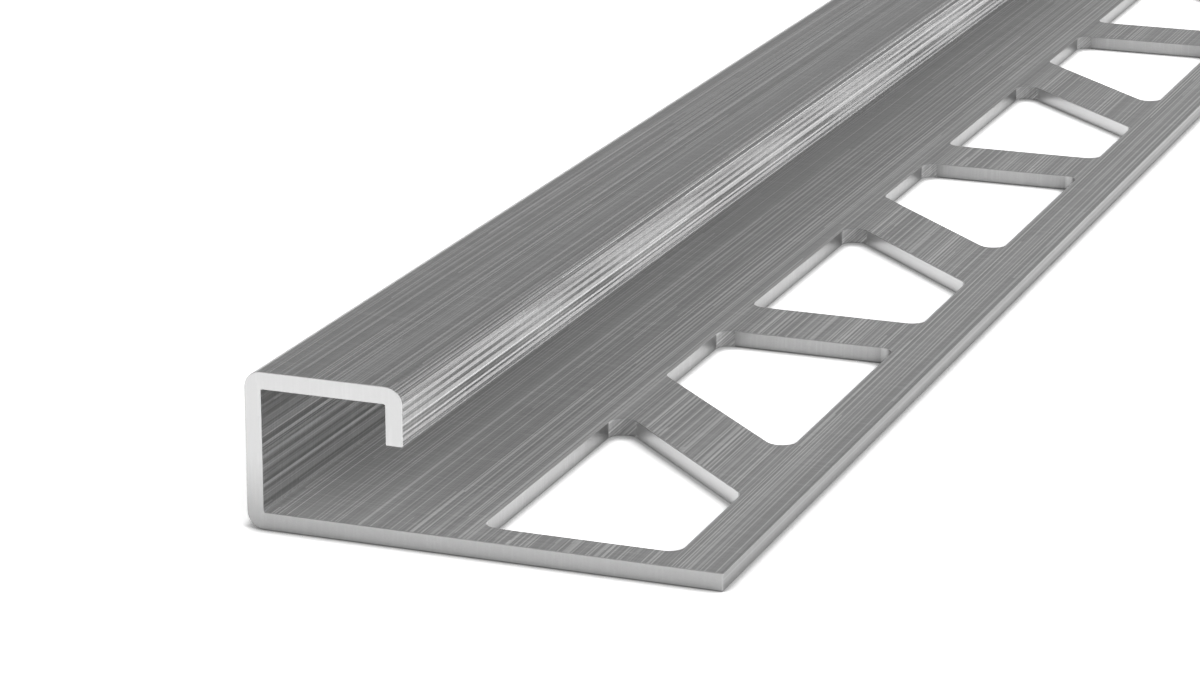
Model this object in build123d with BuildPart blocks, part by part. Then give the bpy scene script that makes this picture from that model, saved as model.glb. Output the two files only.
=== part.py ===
# Square edge profile for the edge of a tiled surface: one strip of stainless steel sheet, punched
# and then folded to a hollow square nose with an anchoring leg.
#
# The strip lies on its leg as on a level floor. X runs across the strip from the nose's visible
# front face to the leg's free edge, Y runs along the strip, and Z is up. The origin is on the
# floor, in the middle of the strip's length and width.
import os

from build123d import *

# Driving sizes, in millimetres.
stock_length = 1000.0  # one length, as sold
sheet = 1.0  # thickness of the sheet
nose_height = 9.0  # underside of the leg to the visible top face
nose_width = 9.3  # visible front face to the face that the tile's edge meets
lip_depth = 3.3  # top face down to the lip's free edge
leg_width = 27.4  # visible front face to the leg's free edge
edge_land = 3.25  # solid strip between the slots and the leg's free edge
slot_width = 11.3  # across the leg
slot_length = 21.25  # along the leg, on a slot's longer side
slot_corner = 0.9  # corner radius of the punch
slant_run = 11.3  # how far a slot's slanted end runs along the leg
straight_web = 5.6  # along the leg, between two square slot ends
slanted_web = 5.3  # square across the web between two slanted slot ends
first_slot = 2.25  # cut end to the first slot
last_land = 1.5  # least metal left between the last slot and the other cut end

# Places that follow from them. The strip is centred on the origin in X and Y.
front_x = -leg_width / 2
near_end = -stock_length / 2
slant_length = (slot_width**2 + slant_run**2) ** 0.5
slanted_web_along = slanted_web * slant_length / slot_width
short_side = slot_length - slant_run
pair_length = slot_length + slanted_web_along + short_side
pair_pitch = pair_length + straight_web
slot_x = front_x + leg_width - edge_land - slot_width / 2
slot_y = near_end + first_slot + slot_length / 2
slot_room = stock_length - first_slot - last_land

# A pair of slots stands point to point: the first has its long side at the nose, and the second
# is the same slot turned half way round. The strip holds as many whole slots as it has room for.
nose_side_slots = int((slot_room - slot_length) // pair_pitch) + 1
edge_side_slots = int((slot_room - pair_length) // pair_pitch) + 1


def slot_outline():
    """One punched slot about its middle: square at its near end and slanted at its far end."""
    half_width = slot_width / 2
    half_length = slot_length / 2
    with BuildSketch() as outline:
        with BuildLine():
            Polyline(
                (-half_width, -half_length),
                (half_width, -half_length),
                (half_width, half_length - slant_run),
                (-half_width, half_length),
                close=True,
            )
        make_face()
        fillet(outline.vertices(), radius=slot_corner)
    return outline.sketch


def slot_places():
    """The middle of every slot, with the half turn of the second slot of each pair."""
    turned_y = slot_y + short_side + slanted_web_along
    nose_side = [Location((slot_x, slot_y + i * pair_pitch)) for i in range(nose_side_slots)]
    edge_side = [
        Location((slot_x, turned_y + i * pair_pitch), 180) for i in range(edge_side_slots)
    ]
    return nose_side + edge_side


with BuildPart() as profile:
    # The sheet's inner line is folded sharp, and the sheet stands outside it by its thickness,
    # so each bend is round outside by that same thickness.
    with BuildSketch(Plane.XZ):
        with BuildLine():
            Polyline(
                (front_x + leg_width, sheet),
                (front_x + sheet, sheet),
                (front_x + sheet, nose_height - sheet),
                (front_x + nose_width - sheet, nose_height - sheet),
                (front_x + nose_width - sheet, nose_height - lip_depth),
            )
            offset(amount=sheet, side=Side.LEFT, kind=Kind.ARC)
        make_face()
    extrude(amount=stock_length / 2, both=True)

    # The slots are punched through the leg.
    with BuildSketch(Plane.XY):
        with Locations(*slot_places()):
            add(slot_outline())
    extrude(amount=sheet, mode=Mode.SUBTRACT)

profile.part.label = "square_edge_profile"

os.makedirs("parts", exist_ok=True)
export_step(profile.part, "parts/square_edge_profile.step")
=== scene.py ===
"""Dresses the square edge profile: the strip's fine mesh, its brushed, sawn and punched finishes, and a
white studio seen from the photograph's viewpoint."""

import math

import bpy
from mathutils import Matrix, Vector


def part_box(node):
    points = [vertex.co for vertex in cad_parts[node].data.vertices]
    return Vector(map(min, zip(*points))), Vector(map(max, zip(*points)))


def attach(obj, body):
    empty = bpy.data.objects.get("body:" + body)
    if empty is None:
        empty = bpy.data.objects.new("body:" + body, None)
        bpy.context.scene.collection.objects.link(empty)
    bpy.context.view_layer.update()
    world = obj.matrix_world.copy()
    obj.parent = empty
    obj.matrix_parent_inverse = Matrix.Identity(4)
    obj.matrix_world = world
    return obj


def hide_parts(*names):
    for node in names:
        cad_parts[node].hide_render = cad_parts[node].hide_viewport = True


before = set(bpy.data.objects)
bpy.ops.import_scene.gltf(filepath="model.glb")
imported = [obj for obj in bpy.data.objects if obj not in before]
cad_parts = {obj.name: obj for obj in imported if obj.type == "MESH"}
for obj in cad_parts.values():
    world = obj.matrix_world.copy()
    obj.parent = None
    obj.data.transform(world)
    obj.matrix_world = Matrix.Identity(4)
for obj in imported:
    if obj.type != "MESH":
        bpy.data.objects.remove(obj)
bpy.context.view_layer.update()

MM = 0.001
NODE = "square_edge_profile"

# The strip's sizes. Its outer box comes from the frame.
strip_low, strip_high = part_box(NODE)
front_x = strip_low.x
edge_x = strip_high.x
near_y = strip_low.y
far_y = strip_high.y
nose_height = strip_high.z
sheet = 1.0 * MM
nose_width = 9.3 * MM
lip_depth = 3.3 * MM
edge_land = 3.25 * MM
slot_width = 11.3 * MM
slot_length = 21.25 * MM
slot_corner = 0.9 * MM
slant_run = 11.3 * MM
straight_web = 5.6 * MM
slanted_web = 5.3 * MM
first_slot = 2.25 * MM
last_land = 1.5 * MM

# How sharp the finished sheet is: inside its bends, along its cut edges, and round its ends and slots.
bend_inside = 0.08 * MM
cut_edge = 0.07 * MM
end_edge = 0.05 * MM
slot_edge = 0.05 * MM

# How finely the curves are drawn: steps in a bend, in a small edge, and in half and all of a slot's corner.
BEND_STEPS = 8
EDGE_STEPS = 2
HALF_CORNER_STEPS = 3
CORNER_STEPS = 2 * HALF_CORNER_STEPS
slot_margin = 1.0 * MM  # the mesh runs round each slot out to here

# Where the bake map holds what: the sheet's skin unrolled, the slots' walls beside it, the ends above it.
BAKE_MAP = "OFBake"
MAP_EDGE = 0.004
SKIN_ACROSS = 0.9
SKIN_ALONG = 0.95
WALLS_FROM = 0.915
WALLS_ACROSS = 0.08
WALL_SHARE = 0.8
ENDS_FROM = 0.962
END_ACROSS = 0.48
END_UP = 0.034
FAR_END_FROM = 0.5

# The finishes, in the order of the piece's materials. The outer side takes in the leg's underside, the
# leg's top the slots' corners near the nose, and the slit edge the lip's free edge as well as the leg's.
OUTER_SIDE = 0
LEG_TOP = 1
CUT_END = 2
LONG_WALL = 3
SLIT_EDGE = 4
NOSE_INSIDE = 5
SLANTED_WALL = 6
SQUARE_WALL = 7

# Used by the painted shade and light on the steel and the painted contact shade on the floor.
FEELER_RAYS = 8  # how many rays feel how open a place is

# The camera, solved from the photograph's edges.
camera_place = Vector((77.83, -684.06, 73.70)) * MM
camera_down = math.radians(17.08)
camera_turn = math.radians(21.09)
camera_lens = 119.9

# Places that follow from the sizes.
lip_outside = front_x + nose_width
lip_inside = lip_outside - sheet
lip_bottom = nose_height - lip_depth
inside_x = front_x + sheet
slots_edge_x = edge_x - edge_land
slots_nose_x = slots_edge_x - slot_width
slant_slope = slant_run / slot_width
slanted_web_along = slanted_web * math.hypot(slot_width, slant_run) / slot_width
short_side = slot_length - slant_run
pair_length = slot_length + slanted_web_along + short_side
pair_pitch = pair_length + straight_web
slot_room = far_y - near_y - first_slot - last_land
nose_side_slots = int((slot_room - slot_length) // pair_pitch) + 1
edge_side_slots = int((slot_room - pair_length) // pair_pitch) + 1
slot_count = nose_side_slots + edge_side_slots


# Shapes.


def rounded_corner(before, corner, after, radius, steps):
    """Points round one corner of an anticlockwise outline, each with the outline's outward normal."""
    into = (corner - before).normalized()
    out = (after - corner).normalized()
    turn = math.atan2(into.x * out.y - into.y * out.x, into.dot(out))
    side = math.copysign(1.0, turn)
    normal = Vector((into.y, -into.x))
    start = corner - into * radius * math.tan(abs(turn) / 2)
    centre = start - normal * radius * side
    points = []
    for i in range(steps + 1):
        c = math.cos(turn * i / steps)
        s = math.sin(turn * i / steps)
        turned = Vector((normal.x * c - normal.y * s, normal.x * s + normal.y * c))
        points.append((centre + turned * radius * side, turned))
    return points


def rounded_outline(corners):
    """Each corner's points, from an outline's corners as (place, radius, steps)."""
    rounded = []
    for i, (corner, radius, steps) in enumerate(corners):
        before = corners[i - 1][0]
        after = corners[(i + 1) % len(corners)][0]
        rounded.append(rounded_corner(before, corner, after, radius, steps))
    return rounded


class Sheet:
    """Gathers the strip's vertices, faces and bake map, and welds vertices that fall on one another."""

    def __init__(self):
        self.points = []
        self.normals = []
        self.faces = []
        self.finishes = []
        self.map_places = []
        self.found = {}

    def vertex(self, place, normal):
        """The number of the vertex at a place, made with this normal if it is the first one there."""
        key = tuple(Vector(place))
        if key not in self.found:
            self.found[key] = len(self.points)
            self.points.append(key)
            self.normals.append(normal)
        return self.found[key]

    def face(self, corners, finish):
        """corners are (vertex, bake map place), anticlockwise seen from outside."""
        self.faces.append([vertex for vertex, _ in corners])
        self.map_places.extend(place for _, place in corners)
        self.finishes.append(finish)

    def grid(self, rows, finish):
        """Quads between neighbouring rows of (vertex, bake map place)."""
        for row, following in zip(rows, rows[1:]):
            for i in range(len(row) - 1):
                self.face([row[i], row[i + 1], following[i + 1], following[i]], finish)

    def as_object(self, name):
        """The gathered mesh as an object in the scene, with its bake map and normals."""
        mesh = bpy.data.meshes.new(name)
        mesh.from_pydata(self.points, [], self.faces)
        bake_map = mesh.uv_layers.new(name=BAKE_MAP)
        bake_map.uv.foreach_set("vector", [value for place in self.map_places for value in place])
        mesh.polygons.foreach_set("material_index", self.finishes)
        mesh.shade_smooth()
        mesh.normals_split_custom_set_from_vertices(self.normals)
        piece = bpy.data.objects.new(name, mesh)
        bpy.context.scene.collection.objects.link(piece)
        return piece


def section():
    """The folded section, anticlockwise from the near end: (place, normal) round the leg's edge, then over
    the nose's inside and its outside."""
    top = nose_height
    corners = [
        (Vector((edge_x, 0)), cut_edge, EDGE_STEPS),
        (Vector((edge_x, sheet)), cut_edge, EDGE_STEPS),
        (Vector((inside_x, sheet)), bend_inside, EDGE_STEPS),
        (Vector((inside_x, top - sheet)), bend_inside, EDGE_STEPS),
        (Vector((lip_inside, top - sheet)), bend_inside, EDGE_STEPS),
        (Vector((lip_inside, lip_bottom)), cut_edge, EDGE_STEPS),
        (Vector((lip_outside, lip_bottom)), cut_edge, EDGE_STEPS),
        (Vector((lip_outside, top)), sheet, BEND_STEPS),
        (Vector((front_x, top)), sheet, BEND_STEPS),
        (Vector((front_x, 0)), sheet, BEND_STEPS),
    ]
    rounded = rounded_outline(corners)
    runs = rounded[:2], rounded[2:6], rounded[6:]
    return [[point for corner in run for point in corner] for run in runs]


def slot_corners():
    """Each slot's four corners seen from above, from the near nose side round to the far nose side."""
    slots = []
    for i in range(slot_count):
        pair_start = near_y + first_slot + (i // 2) * pair_pitch
        turned_start = pair_start + short_side + slanted_web_along
        if i % 2 == 0:
            sides = (pair_start, pair_start, pair_start + short_side, pair_start + slot_length)
        else:
            turned_end = turned_start + slot_length
            sides = (turned_start + slant_run, turned_start, turned_end, turned_end)
        across = (slots_nose_x, slots_edge_x, slots_edge_x, slots_nose_x)
        slots.append([Vector(place) for place in zip(across, sides)])
    return slots


def web_lines():
    """The line down the middle of the web before each slot and after the last, as (place on the nose side,
    slope)."""
    lines = [(near_y + end_edge, 0.0)]
    for i in range(1, slot_count):
        pair_start = near_y + first_slot + (i // 2) * pair_pitch
        if i % 2 == 0:
            lines.append((pair_start - straight_web / 2, 0.0))
        else:
            middle = pair_start + slot_length + slanted_web_along / 2
            lines.append((middle, -slant_slope))
    lines.append((far_y - end_edge, 0.0))
    return lines


def across_stations():
    """Where the mesh's lines cross the leg beside a slot, from the nose side to the edge side."""
    left = slots_nose_x - slot_margin
    right = slots_edge_x + slot_margin
    reach = slot_margin + slot_corner
    steps = [reach * i / HALF_CORNER_STEPS for i in range(HALF_CORNER_STEPS + 1)]
    return [left + step for step in steps] + [right - step for step in reversed(steps)]


def round_slot(corners, line_before, line_after):
    """The slot's rounded outline as (place, normal) and the mesh line round it, point for point."""
    rounded = rounded_outline([(corner, slot_corner, CORNER_STEPS) for corner in corners])
    stations = across_stations()

    def on(line, x):
        """Where a web's line stands at this X."""
        place, slope = line
        return Vector((x, place + slope * (x - slots_nose_x)))

    def side(start, end):
        """From a corner of the mesh line, part of the way along the strip to the slot's own corner."""
        steps = range(HALF_CORNER_STEPS + 1)
        return [Vector((start.x, start.y + (end.y - start.y) * i / HALF_CORNER_STEPS)) for i in steps]

    near = [on(line_before, x) for x in stations]
    far = [on(line_after, x) for x in stations]
    around = [
        *reversed(side(near[0], rounded[0][0][0])),
        *near[1:-1],
        *side(near[-1], rounded[1][-1][0]),
        *reversed(side(far[-1], rounded[2][0][0])),
        *reversed(far[1:-1]),
        *side(far[0], rounded[3][-1][0]),
    ]
    outline = [point for corner in rounded for point in corner]
    return outline, around


def side_stations(rings, extreme):
    """Where the mesh lines of all the slots meet their nose side (the least X) or edge side (the most)."""
    places = [place for _, around in rings for place in around]
    side_x = extreme(place.x for place in places)
    return sorted({place.y for place in places if place.x == side_x})


def quarter(steps):
    """The cosine and sine at each step of a quarter turn."""
    angles = [math.pi / 2 * i / steps for i in range(steps + 1)]
    return [(math.cos(angle), math.sin(angle)) for angle in angles]


def map_along(y):
    """How far up the bake map a place along the strip lies."""
    return MAP_EDGE + SKIN_ALONG * (y - near_y) / (far_y - near_y)


def build_strip():
    """The strip as one closed mesh: the skin swept along it, a ring of faces round each slot, and the two
    cut ends."""
    sheet_mesh = Sheet()
    leg_edge, inside, outside = section()
    stations = across_stations()
    lines = web_lines()
    rings = [
        round_slot(corners, lines[i], lines[i + 1]) for i, corners in enumerate(slot_corners())
    ]
    nose_line = side_stations(rings, min)
    edge_line = side_stations(rings, max)
    up = Vector((0, 1))
    leg_top = [(Vector((x, sheet)), up) for x in reversed(stations)]
    underside = [(Vector((x, 0)), -up) for x in stations]
    outline = leg_top + inside + outside + underside + leg_edge

    # How far each point of the outline lies along the unrolled skin.
    unrolled = [0.0]
    for (place, _), (following, _) in zip(outline, outline[1:] + outline[:1]):
        unrolled.append(unrolled[-1] + (following - place).length)
    to_map = SKIN_ACROSS / unrolled[-1]
    map_across = [MAP_EDGE + distance * to_map for distance in unrolled]

    def swept(first, last, along, finish):
        """Sweeps the outline from its first to its last point through the stations along the strip."""
        rows = []
        for i in range(first, last + 1):
            place, normal = outline[i % len(outline)]
            row = []
            for y in along:
                vertex = sheet_mesh.vertex((place.x, y, place.y), (normal.x, 0, normal.y))
                row.append((vertex, (map_across[i], map_along(y))))
            rows.append(row)
        sheet_mesh.grid(rows, finish)

    top_end = len(leg_top) - 1
    wall = top_end + 1 + EDGE_STEPS
    inside_end = top_end + len(inside)
    underside_start = inside_end + 1 + len(outside)
    underside_end = underside_start + len(underside) - 1
    leg_edge_end = underside_end + len(leg_edge)
    swept(top_end, wall, nose_line, LEG_TOP)
    swept(wall, inside_end, nose_line, NOSE_INSIDE)
    swept(inside_end, inside_end + 1, nose_line, SLIT_EDGE)
    swept(inside_end + 1, underside_start, nose_line, OUTER_SIDE)
    swept(underside_end, leg_edge_end, edge_line, SLIT_EDGE)
    swept(leg_edge_end, leg_edge_end + 1, edge_line, LEG_TOP)

    def flat_ring(places, z, sign, from_map, from_x):
        """A closed row round a slot on the leg's top (sign 1) or underside (sign -1)."""
        row = []
        for place in places:
            vertex = sheet_mesh.vertex((place.x, place.y, z), (0, 0, sign))
            across = from_map - sign * (place.x - from_x) * to_map
            row.append((vertex, (across, map_along(place.y))))
        return row + row[:1]

    # Round each slot: the leg's top, the slot's upper edge, its wall, its lower edge and the underside.
    for number, (outline_points, around) in enumerate(rings):
        opened = [place + normal * slot_edge for place, normal in outline_points]
        top_map = map_across[0]
        below_map = map_across[underside_start]
        top_ring = flat_ring(opened, sheet, 1, top_map, stations[-1])
        lower_ring = flat_ring(opened, 0.0, -1, below_map, stations[0])
        sheet_mesh.grid([flat_ring(around, sheet, 1, top_map, stations[-1]), top_ring], LEG_TOP)
        sheet_mesh.grid([lower_ring, flat_ring(around, 0.0, -1, below_map, stations[0])], OUTER_SIDE)

        levels = []
        for c, s in reversed(quarter(EDGE_STEPS)):
            levels.append((slot_edge * (1 - c), sheet - slot_edge * (1 - s), c, s))
        for c, s in quarter(EDGE_STEPS):
            levels.append((slot_edge * (1 - c), slot_edge * (1 - s), c, -s))
        around_wall = [0.0]
        closed = outline_points + outline_points[:1]
        for (place, _), (following, _) in zip(closed, closed[1:]):
            around_wall.append(around_wall[-1] + (following - place).length)
        rows = []
        for level, (out, z, c, s) in enumerate(levels):
            row = []
            up_wall = WALL_SHARE * (1 - level / len(levels))
            up_map = MAP_EDGE + SKIN_ALONG * (number + up_wall) / slot_count
            for i, (place, normal) in enumerate(closed):
                at = place + normal * out
                vertex = sheet_mesh.vertex((at.x, at.y, z), (-normal.x * c, -normal.y * c, s))
                across = WALLS_FROM + WALLS_ACROSS * around_wall[i] / around_wall[-1]
                row.append((vertex, (across, up_map)))
            rows.append(row)

        # The wall in its own order: each corner's arc, then the straight wall that follows it.
        near_wall, far_wall = SQUARE_WALL, SLANTED_WALL
        if number % 2 == 1:
            near_wall, far_wall = far_wall, near_wall
        arc_finishes = (LEG_TOP, LONG_WALL, LONG_WALL, LEG_TOP)
        wall_finishes = (near_wall, LONG_WALL, far_wall, LONG_WALL)
        for corner in range(4):
            start = corner * (CORNER_STEPS + 1)
            end = start + CORNER_STEPS
            sheet_mesh.grid([row[start : end + 1] for row in rows], arc_finishes[corner])
            sheet_mesh.grid([row[end : end + 2] for row in rows], wall_finishes[corner])

    # The cut ends: a small rounding all round, and the flat face.
    for end_y, way, map_from in ((near_y, -1, MAP_EDGE), (far_y, 1, FAR_END_FROM + MAP_EDGE)):
        columns = []
        for place, normal in outline + outline[:1]:
            column = []
            for c, s in quarter(EDGE_STEPS):
                at = place - normal * end_edge * (1 - s)
                y = end_y - way * end_edge * (1 - c)
                vertex = sheet_mesh.vertex((at.x, y, at.y), (normal.x * s, way * c, normal.y * s))
                across = map_from + END_ACROSS * (at.x - front_x) / (edge_x - front_x)
                column.append((vertex, (across, ENDS_FROM + END_UP * at.y / nose_height)))
            columns.append(column if way < 0 else column[::-1])
        sheet_mesh.grid(columns, CUT_END)
        face = [column[0] if way < 0 else column[-1] for column in columns[:-1]]
        sheet_mesh.face(face if way < 0 else face[::-1], CUT_END)

    return sheet_mesh.as_object("brushed_profile")


# Finishes.


def add_node(tree, kind, settings=None, inputs=None):
    """A node of this kind, with its settings by name and its own input values by name or number."""
    node = tree.nodes.new(kind)
    for name, value in (settings or {}).items():
        setattr(node, name, value)
    for name, value in (inputs or {}).items():
        node.inputs[name].default_value = value
    return node


def map_range(tree, value, low, high, from_low=0.0, from_high=1.0):
    """A value that runs from low to high while the given one runs from from_low to from_high."""
    node = add_node(
        tree,
        "ShaderNodeMapRange",
        inputs={"From Min": from_low, "From Max": from_high, "To Min": low, "To Max": high},
    )
    tree.links.new(value, node.inputs["Value"])
    return node.outputs["Result"]


def combine(tree, operation, first, second=0.0):
    """The result of an operation on one or two values, either of which may be a plain number."""
    node = add_node(tree, "ShaderNodeMath", {"operation": operation})
    for socket, value in zip(node.inputs, (first, second)):
        if isinstance(value, bpy.types.NodeSocket):
            tree.links.new(value, socket)
        else:
            socket.default_value = value
    return node.outputs[0]


def drawn_lines_group():
    """Straight fine lines, as a belt, a saw or a punch leaves them, over broader furrows. Across and Along
    are where a point lies, Pitch is one line's width and Length how far it runs. Tone and Height run from
    about 0 to 1."""
    # How wide the lines are, in pitches, and how much of the tone is theirs.
    hair_width = 1.0
    fine_width = 0.8
    wide_width = 4.0
    hair_weight = 0.62
    fine_weight = 0.24
    wide_weight = 0.04
    drift_weight = 0.14

    # Only the lines with the highest values are hairlines. They come in groups and show least in between.
    hair_values = (0.72, 0.74)
    hair_shows = (0.45, 0.9)
    group_values = (0.42, 0.58)

    # How many of each lie in one pitch, and where the furrows begin.
    group_scale = 0.06
    drift_scale = 0.1
    furrow_scale = 0.19
    furrow_start = 21.0

    group = bpy.data.node_groups.new("drawn_lines", "ShaderNodeTree")
    for name in ("Across", "Along", "Pitch", "Length"):
        group.interface.new_socket(name, in_out="INPUT", socket_type="NodeSocketFloat")
    for name in ("Tone", "Height"):
        group.interface.new_socket(name, in_out="OUTPUT", socket_type="NodeSocketFloat")
    inside = add_node(group, "NodeGroupInput")
    outside = add_node(group, "NodeGroupOutput")
    across = combine(group, "DIVIDE", inside.outputs["Across"], inside.outputs["Pitch"])
    along = combine(group, "DIVIDE", inside.outputs["Along"], inside.outputs["Length"])

    def noise(scale):
        """A value that drifts across the lines, from about 0.3 to 0.7."""
        texture = add_node(group, "ShaderNodeTexNoise", {"noise_dimensions": "1D"}, {"Scale": scale})
        group.links.new(across, texture.inputs["W"])
        return texture.outputs["Fac"]

    def lines(width):
        """A random value for each line, so many pitches wide, and a new one where the next takes over."""
        line = combine(group, "FLOOR", combine(group, "DIVIDE", across, width))
        start = add_node(group, "ShaderNodeTexWhiteNoise", {"noise_dimensions": "1D"})
        group.links.new(line, start.inputs["W"])
        stretch = combine(group, "FLOOR", combine(group, "ADD", along, start.outputs["Value"]))
        both = add_node(group, "ShaderNodeCombineXYZ")
        group.links.new(line, both.inputs["X"])
        group.links.new(stretch, both.inputs["Y"])
        value = add_node(group, "ShaderNodeTexWhiteNoise", {"noise_dimensions": "2D"})
        group.links.new(both.outputs[0], value.inputs["Vector"])
        return value.outputs["Value"]

    def weigh(parts):
        """The sum of some values, each times its weight."""
        total = 0.0
        for value, weight in parts:
            total = combine(group, "ADD", combine(group, "MULTIPLY", value, weight), total)
        return total

    hair = map_range(group, lines(hair_width), 0.0, 1.0, *hair_values)
    grouped = map_range(group, noise(group_scale), *hair_shows, *group_values)
    shown = combine(group, "MULTIPLY", hair, grouped)
    fine = lines(fine_width)
    wide = lines(wide_width)
    drift = noise(drift_scale)
    tone = weigh(
        ((shown, hair_weight), (fine, fine_weight), (wide, wide_weight), (drift, drift_weight))
    )

    # The furrows' sides are flat, and no two furrows are as wide as each other.
    furrows = add_node(
        group, "ShaderNodeTexVoronoi", {"voronoi_dimensions": "1D"}, {"Scale": furrow_scale}
    )
    group.links.new(combine(group, "ADD", across, furrow_start), furrows.inputs["W"])

    group.links.new(tone, outside.inputs["Tone"])
    group.links.new(furrows.outputs["Distance"], outside.inputs["Height"])
    return group


def painted_shade_and_light_group():
    """Painted shade and light: the share of its colour that a place is painted with: a given share where
    other steel stands close round it, within the reach, and all of it in the open."""
    closest = 0.3  # how open a place is that counts as wholly sheltered
    group = bpy.data.node_groups.new("painted_shade_and_light", "ShaderNodeTree")
    sockets = group.interface
    sockets.new_socket("Reach", in_out="INPUT", socket_type="NodeSocketFloat")
    sockets.new_socket("Sheltered Painted Share", in_out="INPUT", socket_type="NodeSocketFloat")
    sockets.new_socket("Share", in_out="OUTPUT", socket_type="NodeSocketFloat")
    inside = add_node(group, "NodeGroupInput")
    outside = add_node(group, "NodeGroupOutput")
    opening = add_node(group, "ShaderNodeAmbientOcclusion", {"samples": FEELER_RAYS})
    group.links.new(inside.outputs["Reach"], opening.inputs["Distance"])
    share = add_node(
        group, "ShaderNodeMapRange", inputs={"From Min": closest, "From Max": 1.0, "To Max": 1.0}
    )
    group.links.new(opening.outputs["AO"], share.inputs["Value"])
    group.links.new(inside.outputs["Sheltered Painted Share"], share.inputs["To Min"])
    group.links.new(share.outputs["Result"], outside.inputs["Share"])
    return group


def steel(name, groups, ways, sizes, colours, roughness, depth, sheltered=None, anisotropy=0.0):
    """Bare steel with drawn lines. ways is which way lies across the lines and which along them, sizes
    their pitch and length, and depth how deep they are. Colours and roughness run over the lines from low
    to high. The shelter pair, when given, is a reach and a share of the colour: where other steel stands
    close round a place, within the reach, its colour is scaled towards that share, a painted shade where
    the share is below 1 and a painted light where it is above."""
    tick_length = 20  # the short marks across the lines, in pitches
    tick_weight = 0.2
    lines, painted_shade_and_light = groups
    material = bpy.data.materials.new(name)
    material.use_nodes = True
    tree = material.node_tree
    shader = tree.nodes["Principled BSDF"]
    shader.inputs["Metallic"].default_value = 1.0
    shader.inputs["Anisotropic"].default_value = anisotropy
    place = add_node(tree, "ShaderNodeTexCoord")
    pitch, length = sizes
    drawn = add_node(tree, "ShaderNodeGroup", {"node_tree": lines}, {"Pitch": pitch, "Length": length})
    ticks = add_node(
        tree, "ShaderNodeGroup", {"node_tree": lines}, {"Pitch": pitch, "Length": tick_length * pitch}
    )
    for way, socket, tick_socket in zip(ways, ("Across", "Along"), ("Along", "Across")):
        towards = add_node(tree, "ShaderNodeVectorMath", {"operation": "DOT_PRODUCT"}, {1: way})
        tree.links.new(place.outputs["Object"], towards.inputs[0])
        tree.links.new(towards.outputs["Value"], drawn.inputs[socket])
        tree.links.new(towards.outputs["Value"], ticks.inputs[tick_socket])
    crossed = combine(tree, "MULTIPLY", ticks.outputs["Tone"], tick_weight)
    colour = map_range(tree, combine(tree, "ADD", drawn.outputs["Tone"], crossed), *colours)
    # Painted shade and light: where other steel stands close, the colour is scaled by the given share,
    # darker below 1 and lighter above.
    if sheltered:
        reach, share = sheltered
        shade = add_node(
            tree, "ShaderNodeGroup", {"node_tree": painted_shade_and_light}, {"Reach": reach, "Sheltered Painted Share": share}
        )
        colour = combine(tree, "MULTIPLY", colour, shade.outputs["Share"])
    tree.links.new(colour, shader.inputs["Base Color"])
    tree.links.new(map_range(tree, drawn.outputs["Tone"], *roughness), shader.inputs["Roughness"])
    bump = add_node(tree, "ShaderNodeBump", inputs={"Strength": 1.0, "Distance": depth})
    tree.links.new(drawn.outputs["Height"], bump.inputs["Height"])
    tree.links.new(bump.outputs["Normal"], shader.inputs["Normal"])
    if anisotropy:
        # The lines run along Y, and the gloss spreads across them, a quarter turn from it.
        along = add_node(tree, "ShaderNodeCombineXYZ", inputs={"Y": 1.0})
        tree.links.new(along.outputs[0], shader.inputs["Tangent"])
        shader.inputs["Anisotropic Rotation"].default_value = 0.25
    return material


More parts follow.
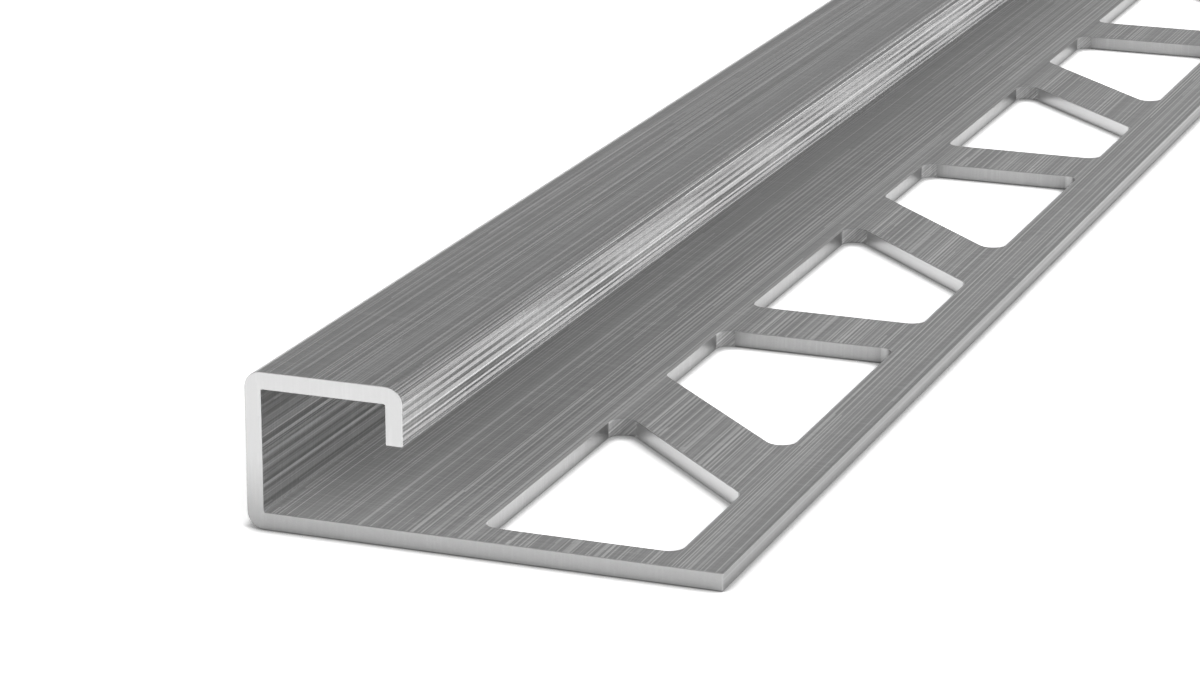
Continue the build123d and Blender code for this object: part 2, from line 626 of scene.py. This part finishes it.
def finish_strip(piece):
    """Gives the strip its steels, in the order in which the finishes are numbered."""
    groups = (drawn_lines_group(), painted_shade_and_light_group())
    lengthwise = ((1, 0, -1), (0, 1, 0))
    upright = ((1, 1, 0), (0, 0, 1))
    brushed = (0.085 * MM, 90 * MM)
    hairlines = (0.08 * MM, 90 * MM)
    punch = (0.1 * MM, 2 * MM)
    # How far the painted shade in corners and towards the floor reaches, and the painted light under the
    # nose.
    painted_shade_reach = 4.5 * MM
    painted_light_reach = 9 * MM
    outer_side = steel(
        "brushed_outer_side", groups, lengthwise, brushed,
        colours=(0.325, 0.885), roughness=(0.30, 0.26), depth=0.115 * MM, anisotropy=0.7,
    )
    # The leg's top is painted up to 22 percent lighter where the nose stands over it: a painted light.
    leg_top = steel(
        "brushed_leg_top", groups, lengthwise, hairlines,
        colours=(0.34, 0.68), roughness=(0.95, 0.9), depth=0.01 * MM, sheltered=(painted_light_reach, 1.22),
    )
    # The cut ends are painted darker in their inner corners and towards the floor: a painted shade.
    cut_end = steel(
        "sawn_end", groups, upright, punch,
        colours=(0.575, 0.595), roughness=(0.48, 0.44), depth=0.0005 * MM, sheltered=(painted_shade_reach, 0.4),
    )
    # The long walls are painted darker in corners and towards the floor: a painted shade.
    long_wall = steel(
        "punched_long_wall", groups, upright, punch,
        colours=(0.64, 0.70), roughness=(0.36, 0.32), depth=0.001 * MM, sheltered=(painted_shade_reach, 0.45),
    )
    # The slit edges are painted darker in corners and towards the floor: a painted shade.
    slit_edge = steel(
        "slit_edge", groups, lengthwise, brushed,
        colours=(0.37, 0.53), roughness=(0.48, 0.44), depth=0.002 * MM, sheltered=(painted_shade_reach, 0.6),
    )
    nose_inside = steel(
        "brushed_nose_inside", groups, lengthwise, brushed,
        colours=(0.34, 0.74), roughness=(0.44, 0.4), depth=0.08 * MM, anisotropy=0.7,
    )
    # The slanted walls are the punched steel painted lighter than the other walls and never darkened: a
    # painted light for the light that falls on them.
    slanted_wall = steel(
        "punched_slanted_wall_painted_light", groups, upright, punch,
        colours=(0.63, 0.69), roughness=(0.32, 0.28), depth=0.001 * MM,
    )
    # The square walls are the punched steel painted darker than the long walls, and darker still in corners
    # and towards the floor: a painted shade.
    square_wall = steel(
        "punched_square_wall", groups, upright, punch,
        colours=(0.53, 0.58), roughness=(0.36, 0.32), depth=0.001 * MM, sheltered=(painted_shade_reach, 0.45),
    )
    steels = (outer_side, leg_top, cut_end, long_wall, slit_edge, nose_inside, slanted_wall, square_wall)
    for material in steels:
        piece.data.materials.append(material)


# The studio.


def floor_white(tree):
    """How white the floor is: most to the camera, a little less to a mirror or glass, and least to the
    light that falls on it."""
    to_light = 0.8
    to_mirror = 1.85
    to_camera = 2.0
    path = add_node(tree, "ShaderNodeLightPath")
    mirrored = combine(tree, "MAXIMUM", path.outputs["Is Glossy Ray"], path.outputs["Is Transmission Ray"])
    white = map_range(tree, path.outputs["Is Camera Ray"], to_light, to_camera)
    return combine(tree, "ADD", white, combine(tree, "MULTIPLY", mirrored, to_mirror - to_light))


def white_floor():
    """A wide white floor that keeps the strip's shadow, with a little painted shade added close to the
    steel.
    """
    reach = 30.0
    drop = 0.02 * MM
    contact_reach = 1.2 * MM
    # Painted contact shade: the floor has the first share of its white up to the first openness,
    #     # and all of it from the second.
    share_of_white = (0.36, 1.0)
    openness = (0.6, 0.82)
    z = strip_low.z - drop
    mesh = bpy.data.meshes.new("floor")
    corners = [(-reach, -reach, z), (reach, -reach, z), (reach, reach, z), (-reach, reach, z)]
    mesh.from_pydata(corners, [], [(0, 1, 2, 3)])
    floor = bpy.data.objects.new("floor", mesh)
    bpy.context.scene.collection.objects.link(floor)
    material = bpy.data.materials.new("white_floor")
    material.use_nodes = True
    tree = material.node_tree
    tree.nodes.clear()
    paint = add_node(tree, "ShaderNodeBsdfDiffuse")
    out = add_node(tree, "ShaderNodeOutputMaterial")
    contact = add_node(
        tree, "ShaderNodeAmbientOcclusion", {"samples": FEELER_RAYS}, {"Distance": contact_reach}
    )
    painted_contact_shade = map_range(tree, contact.outputs["AO"], *share_of_white, *openness)
    tree.links.new(combine(tree, "MULTIPLY", floor_white(tree), painted_contact_shade), paint.inputs["Color"])
    tree.links.new(paint.outputs[0], out.inputs["Surface"])
    mesh.materials.append(material)


def studio_light():
    """An even dome with broad soft panels in it: which way each lies and how bright it is."""
    dome = 0.37
    panels = (
        ((0.92, 0.28, 0.27), 1.08),
        ((0.92, 0.28, 0.58), 0.41),
        ((1.0, 0.0, 0.36), 0.52),
        ((0.7, -0.7, 0.27), 1.08),
        ((-0.7, -0.7, 0.58), 0.54),
        ((-1.0, 0.0, 0.27), 0.39),
    )
    # A panel is full within one angle of its middle and gone beyond another, given by their cosines.
    fades_out = 0.72
    full = 0.95
    world = bpy.data.worlds.new("studio")
    bpy.context.scene.world = world
    world.use_nodes = True
    tree = world.node_tree
    tree.nodes.clear()
    direction = add_node(tree, "ShaderNodeTexCoord")
    light = dome
    for way, brightness in panels:
        towards = add_node(
            tree, "ShaderNodeVectorMath", {"operation": "DOT_PRODUCT"}, {1: Vector(way).normalized()}
        )
        tree.links.new(direction.outputs["Generated"], towards.inputs[0])
        panel = map_range(tree, towards.outputs["Value"], 0.0, brightness, fades_out, full)
        light = combine(tree, "ADD", panel, light)
    sky = add_node(tree, "ShaderNodeBackground", inputs={"Color": (1.0, 1.0, 1.0, 1.0)})
    out = add_node(tree, "ShaderNodeOutputWorld")
    tree.links.new(light, sky.inputs["Strength"])
    tree.links.new(sky.outputs[0], out.inputs["Surface"])


def set_camera():
    """The photograph's camera."""
    data = bpy.data.cameras.new("camera")
    data.lens = camera_lens
    camera = bpy.data.objects.new("camera", data)
    camera.location = camera_place
    camera.rotation_euler = (math.pi / 2 - camera_down, 0, camera_turn)
    bpy.context.scene.collection.objects.link(camera)
    bpy.context.scene.camera = camera


bpy.context.scene.view_settings.view_transform = "Standard"
set_camera()
white_floor()
studio_light()

strip = build_strip()
finish_strip(strip)
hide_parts(NODE)
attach(strip, "root")
